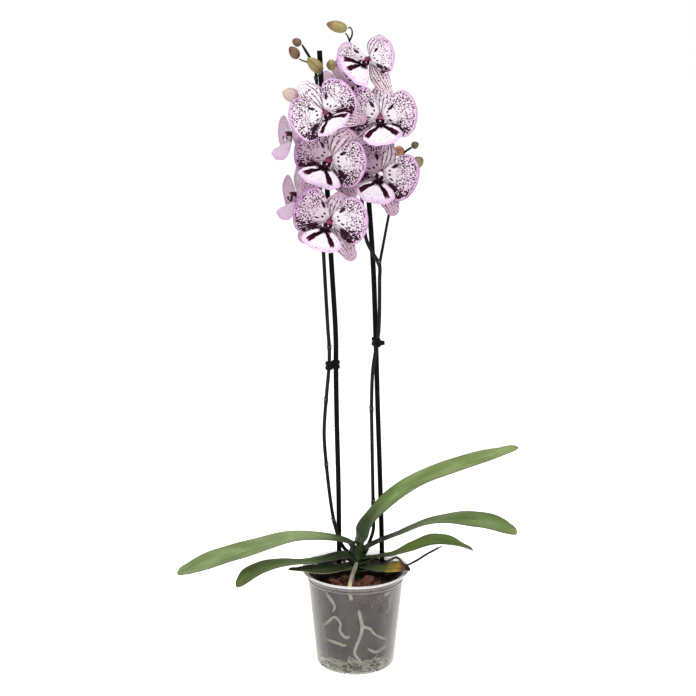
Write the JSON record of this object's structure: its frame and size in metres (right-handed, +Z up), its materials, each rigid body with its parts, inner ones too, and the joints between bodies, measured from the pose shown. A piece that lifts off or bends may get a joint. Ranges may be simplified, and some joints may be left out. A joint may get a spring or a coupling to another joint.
{
  "type": "potted moth orchid",
  "caption": "Moth orchid in a clear nursery pot of bark, with arching strap leaves and staked flower stems of pale lilac blooms speckled with maroon.",
  "frame": {"origin": "centre of the pot's flat bottom face, where the object stands", "axes": "+Z up, -Y towards the viewer that the front blooms face, +X to the viewer's right"},
  "size_m": [0.3835, 0.1224, 0.7067],
  "materials": {
    "clear_plastic": "clear polypropylene, slightly hazy",
    "bark_chips": "rough, moist red-brown bark",
    "root_skin": "matte cream and grey-green",
    "crown_green": "satin green",
    "leaf_green": "satin, leathery green",
    "dried_sheath": "matte dried brown",
    "stake_black": "satin black",
    "clip_black": "satin black",
    "stem_dark": "satin purple-black with pale joints",
    "petal_lilac": "soft sheen, lilac white speckled with maroon",
    "lip_maroon": "soft sheen, maroon streaks on white",
    "bud_green": "satin yellow-green with brown"
  },
  "bodies": {
    "root": {"pot": "clear_plastic", "bark": "bark_chips", "crown": "crown_green", "dry_strip": "dried_sheath", "leaf_1": "leaf_green", "leaf_2": "leaf_green", "leaf_3": "leaf_green", "leaf_4": "leaf_green", "leaf_5": "leaf_green", "leaf_6": "leaf_green", "leaf_7": "leaf_green", "root_main": "root_skin", "root_low": "root_skin", "root_left": "root_skin", "root_right": "root_skin", "root_foot": "root_skin", "root_rear_1": "root_skin", "root_rear_2": "root_skin", "stake_left": "stake_black", "stake_right": "stake_black", "clip_left": "clip_black", "clip_right": "clip_black", "spike_left": "stem_dark", "spike_right": "stem_dark", "bloom_1": "petal_lilac", "bloom_2": "petal_lilac", "bloom_3": "petal_lilac", "bloom_4": "petal_lilac", "bloom_5": "petal_lilac", "bloom_6": "petal_lilac", "bloom_7": "petal_lilac", "bloom_8": "petal_lilac", "bloom_9": "petal_lilac", "lip_1": "lip_maroon", "lip_2": "lip_maroon", "lip_3": "lip_maroon", "lip_4": "lip_maroon", "lip_5": "lip_maroon", "lip_6": "lip_maroon", "lip_7": "lip_maroon", "lip_8": "lip_maroon", "lip_9": "lip_maroon", "bud_1": "bud_green", "bud_2": "bud_green", "bud_3": "bud_green", "bud_4": "bud_green", "bud_5": "bud_green", "bud_6": "bud_green", "bud_7": "bud_green", "bud_8": "bud_green", "bud_9": "bud_green"}
  },
  "joints": []
}
